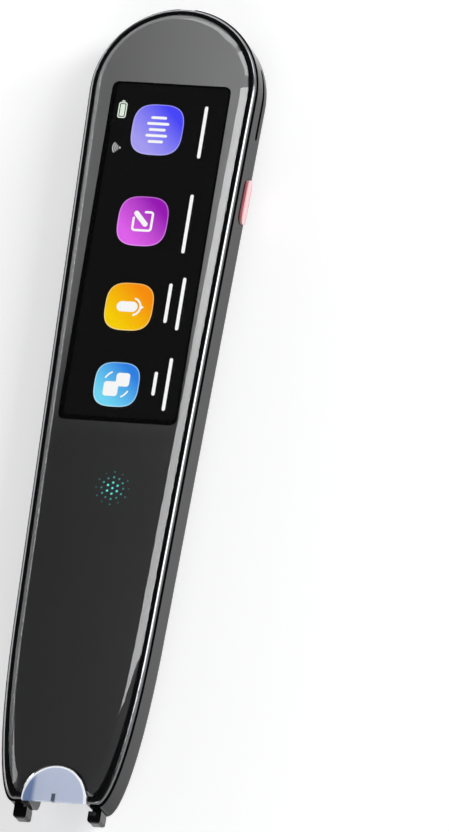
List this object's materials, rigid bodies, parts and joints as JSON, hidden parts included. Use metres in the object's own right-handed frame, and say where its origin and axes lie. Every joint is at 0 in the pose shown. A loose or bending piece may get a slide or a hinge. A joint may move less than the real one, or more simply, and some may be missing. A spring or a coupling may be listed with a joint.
{
  "type": "handheld translator",
  "caption": "Slim scanning translator pen with a long glass front, a display, a touch key, a side button, a speaker grille and a notched scanning tip between sliding feet.",
  "frame": {"origin": "on the flat land of the back, halfway along the whole pen with its feet and midway between its sides", "axes": "+Z out of the screen, +Y along the pen towards its round end, +X towards the side button"},
  "size_m": [0.0318, 0.1534, 0.0115],
  "materials": {
    "shell_gloss": "piano black, high gloss",
    "frame_metal": "polished dark grey plating",
    "cover_glass": "clear polished glass",
    "decor_grey": "grey ink that darkens towards the tip",
    "screen": "black liquid crystal panel",
    "button_pink": "satin pink",
    "inner_black": "moulded black plastic",
    "tip_black": "glossy black plastic",
    "window_smoke": "smoked clear plastic",
    "window_blue": "pale blue translucent plastic",
    "mark_blue": "blue ink",
    "key_light": "milky light guide",
    "board_green": "solder mask",
    "chip_black": "moulded epoxy",
    "sheet_steel": "tinned sheet",
    "screw_steel": "blackened steel",
    "spring_steel": "spring wire",
    "lens_glass": "coated lens",
    "foam_black": "closed-cell foam",
    "battery_wrap": "silver-grey foil",
    "ribbon_amber": "flexible circuit film",
    "led_white": "white light emitting diode",
    "mesh_black": "woven acoustic mesh",
    "tape_black": "adhesive tape"
  },
  "bodies": {
    "pen": {"aerial": "ribbon_amber", "aim_mark": "mark_blue", "back_shell": "shell_gloss", "battery": "battery_wrap", "battery_board": "board_green", "battery_pad": "foam_black", "battery_tab": "ribbon_amber", "button_switch": "inner_black", "camera_board": "board_green", "camera_cradle": "inner_black", "camera_ribbon": "ribbon_amber", "camera_window": "window_smoke", "card_socket": "sheet_steel", "charging_port": "sheet_steel", "cover_glass": "cover_glass", "decor_film": "decor_grey", "display_foam": "foam_black", "display_module": "screen", "display_ribbon": "ribbon_amber", "frame_screws": "screw_steel", "front_frame": "frame_metal", "glass_tape": "tape_black", "image_sensor": "chip_black", "lens_barrel": "inner_black", "lens_glass": "lens_glass", "light_board": "board_green", "main_board": "board_green", "memory_chip": "chip_black", "microphone": "sheet_steel", "microphone_boot": "foam_black", "nose_springs": "spring_steel", "nose_switch": "inner_black", "processor": "chip_black", "radio_module": "sheet_steel", "scan_hood": "tip_black", "scan_lights": "led_white", "scan_window": "window_blue", "shield_can": "sheet_steel", "speaker": "inner_black", "speaker_gasket": "foam_black", "speaker_mesh": "mesh_black", "touch_key_board": "board_green", "touch_key_guide": "key_light"},
    "nose": {"nose_frame": "tip_black"},
    "button": {"side_button": "button_pink"}
  },
  "joints": [
    {"name": "nose_slide", "type": "slide", "parent": "pen", "child": "nose", "axis": [0, 1, 0], "range_m": [0, 0.0008], "stiffness_N_per_m": 300},
    {"name": "button_press", "type": "slide", "parent": "pen", "child": "button", "axis": [-1, 0, 0], "range_m": [0, 0.0004], "stiffness_N_per_m": 800}
  ]
}
